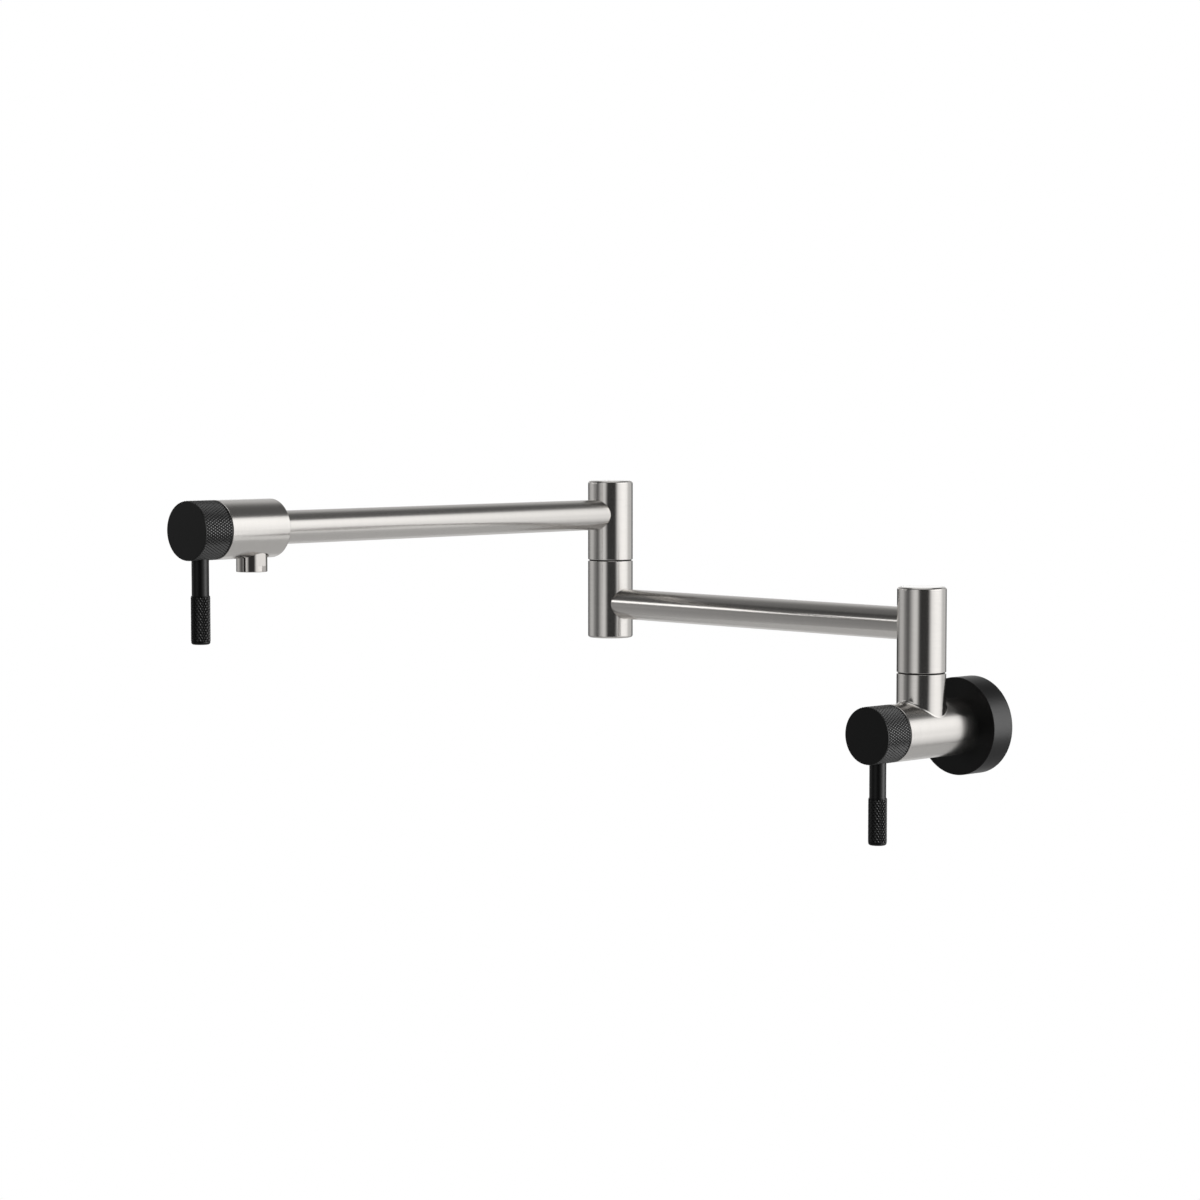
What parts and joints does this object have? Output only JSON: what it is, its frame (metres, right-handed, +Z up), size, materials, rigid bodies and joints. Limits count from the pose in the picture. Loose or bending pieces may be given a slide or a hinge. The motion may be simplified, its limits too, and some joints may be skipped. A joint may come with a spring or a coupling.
{
  "type": "pot filler",
  "caption": "Wall-mounted pot filler tap: folding double-jointed spout on upright swivels, with a knurled lever valve at the wall and another at the spout.",
  "frame": {"origin": "centre of the flange's back face, on the supply inlet's axis, in the plane of the wall", "axes": "+Y into the wall along the inlet, so the room is towards -Y; +Z up; +X to the right for someone facing the wall"},
  "size_m": [0.2969, 0.3911, 0.1974],
  "materials": {
    "steel": "fine satin brushing",
    "black": "matte black coating",
    "polished": "polished stainless steel",
    "brass": "turned",
    "rubber": "moulded",
    "ceramic": "lapped ceramic",
    "nylon": "moulded nylon",
    "spring_steel": "plain",
    "jet_plastic": "moulded"
  },
  "bodies": {
    "wall_valve": {"wall_flange": "black", "flange_gasket": "rubber", "flange_set_screw": "spring_steel", "valve_body": "steel", "wall_cartridge_shell": "brass", "wall_cartridge_seal": "rubber", "wall_seat_seal": "rubber", "wall_fixed_disc": "ceramic", "wall_cartridge_nut": "brass", "wall_spigot": "brass", "wall_spigot_seals": "rubber", "wall_thrust_washer": "nylon", "wall_retaining_washer": "spring_steel", "wall_retaining_clip": "spring_steel"},
    "wall_handle": {"wall_moving_disc": "ceramic", "wall_stem": "brass", "wall_stem_seal": "rubber", "wall_knob": "black", "wall_knob_screw": "spring_steel", "wall_lever": "black"},
    "lower_arm": {"wall_sleeve": "steel", "wall_sleeve_cap": "steel", "lower_arm_tube": "steel", "elbow_lower_sleeve": "steel", "elbow_plug": "steel", "elbow_spigot": "brass", "elbow_spigot_seals": "rubber", "elbow_thrust_washer": "nylon", "elbow_retaining_washer": "spring_steel", "elbow_retaining_clip": "spring_steel"},
    "upper_arm": {"elbow_upper_sleeve": "steel", "elbow_cap": "steel", "upper_arm_tube": "steel", "spout_head": "steel", "spout_cartridge_shell": "brass", "spout_cartridge_seal": "rubber", "spout_seat_seal": "rubber", "spout_fixed_disc": "ceramic", "spout_cartridge_nut": "brass", "aerator_seal": "rubber", "aerator_shell": "polished", "aerator_insert": "jet_plastic"},
    "spout_handle": {"spout_moving_disc": "ceramic", "spout_stem": "brass", "spout_stem_seal": "rubber", "spout_knob": "black", "spout_knob_screw": "spring_steel", "spout_lever": "black"}
  },
  "joints": [
    {"name": "wall_valve_turn", "type": "hinge", "parent": "wall_valve", "child": "wall_handle", "pos_m": [0, -0.0728, 0], "axis": [0, -1, 0], "range_deg": [0, 90]},
    {"name": "wall_swivel", "type": "hinge", "parent": "wall_valve", "child": "lower_arm", "pos_m": [0, -0.0464, 0.0323], "axis": [0, 0, 1], "range_deg": [0, 180]},
    {"name": "elbow_swivel", "type": "hinge", "parent": "lower_arm", "child": "upper_arm", "pos_m": [-0.255, -0.0464, 0.0863], "axis": [0, 0, 1], "range_deg": [-275.5, 84.5]},
    {"name": "spout_valve_turn", "type": "hinge", "parent": "upper_arm", "child": "spout_handle", "pos_m": [-0.2238, -0.3704, 0.115], "axis": [0.0958, -0.9954, 0], "range_deg": [0, 90]}
  ]
}
